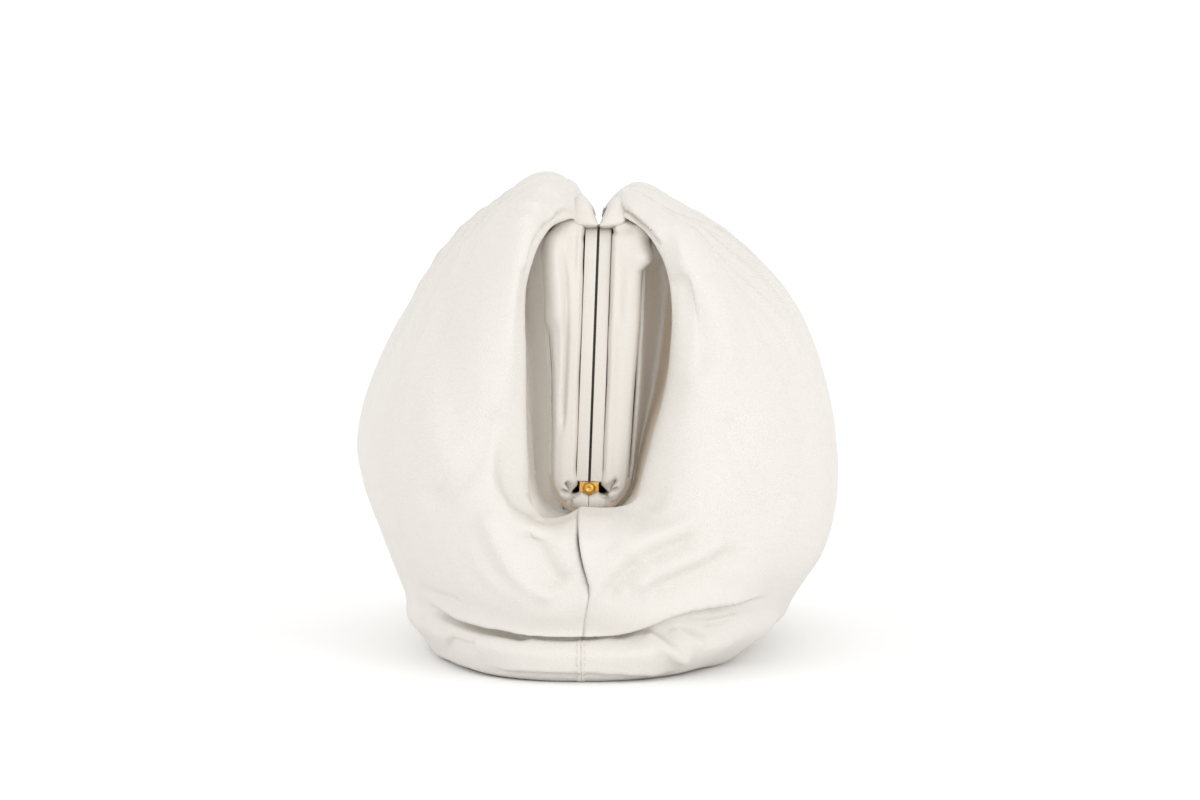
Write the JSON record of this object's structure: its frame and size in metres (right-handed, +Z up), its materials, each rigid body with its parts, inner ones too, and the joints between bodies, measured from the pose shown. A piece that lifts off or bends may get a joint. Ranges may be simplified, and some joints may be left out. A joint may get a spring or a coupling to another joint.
{
  "type": "soft leather frame clutch bag",
  "caption": "Soft gathered leather clutch with a closed hinged frame, padded rims and two billowing panels that hold small belongings.",
  "frame": {"origin": "centre of the bounding box on the floor plane, z = 0 at the bag's flat base", "axes": "+Z up, +Y along the frame from the near hinge to the far hinge, +X from the front panel to the back panel"},
  "size_m": [0.2288, 0.3648, 0.2239],
  "materials": {
    "panel_leather": "soft matt off-white nappa with a fine grain",
    "rim_leather": "smooth off-white nappa over padding",
    "hinge_brass": "warm polished brass"
  },
  "bodies": {
    "root": {"front_panel": "panel_leather", "back_panel": "panel_leather", "front_rim_roll": "rim_leather", "back_rim_roll": "rim_leather", "front_bar_cover": "rim_leather", "back_bar_cover": "rim_leather", "front_frame_rail": "hinge_brass", "back_frame_rail": "hinge_brass", "near_hinge_rivet": "hinge_brass", "far_hinge_rivet": "hinge_brass"}
  },
  "joints": []
}
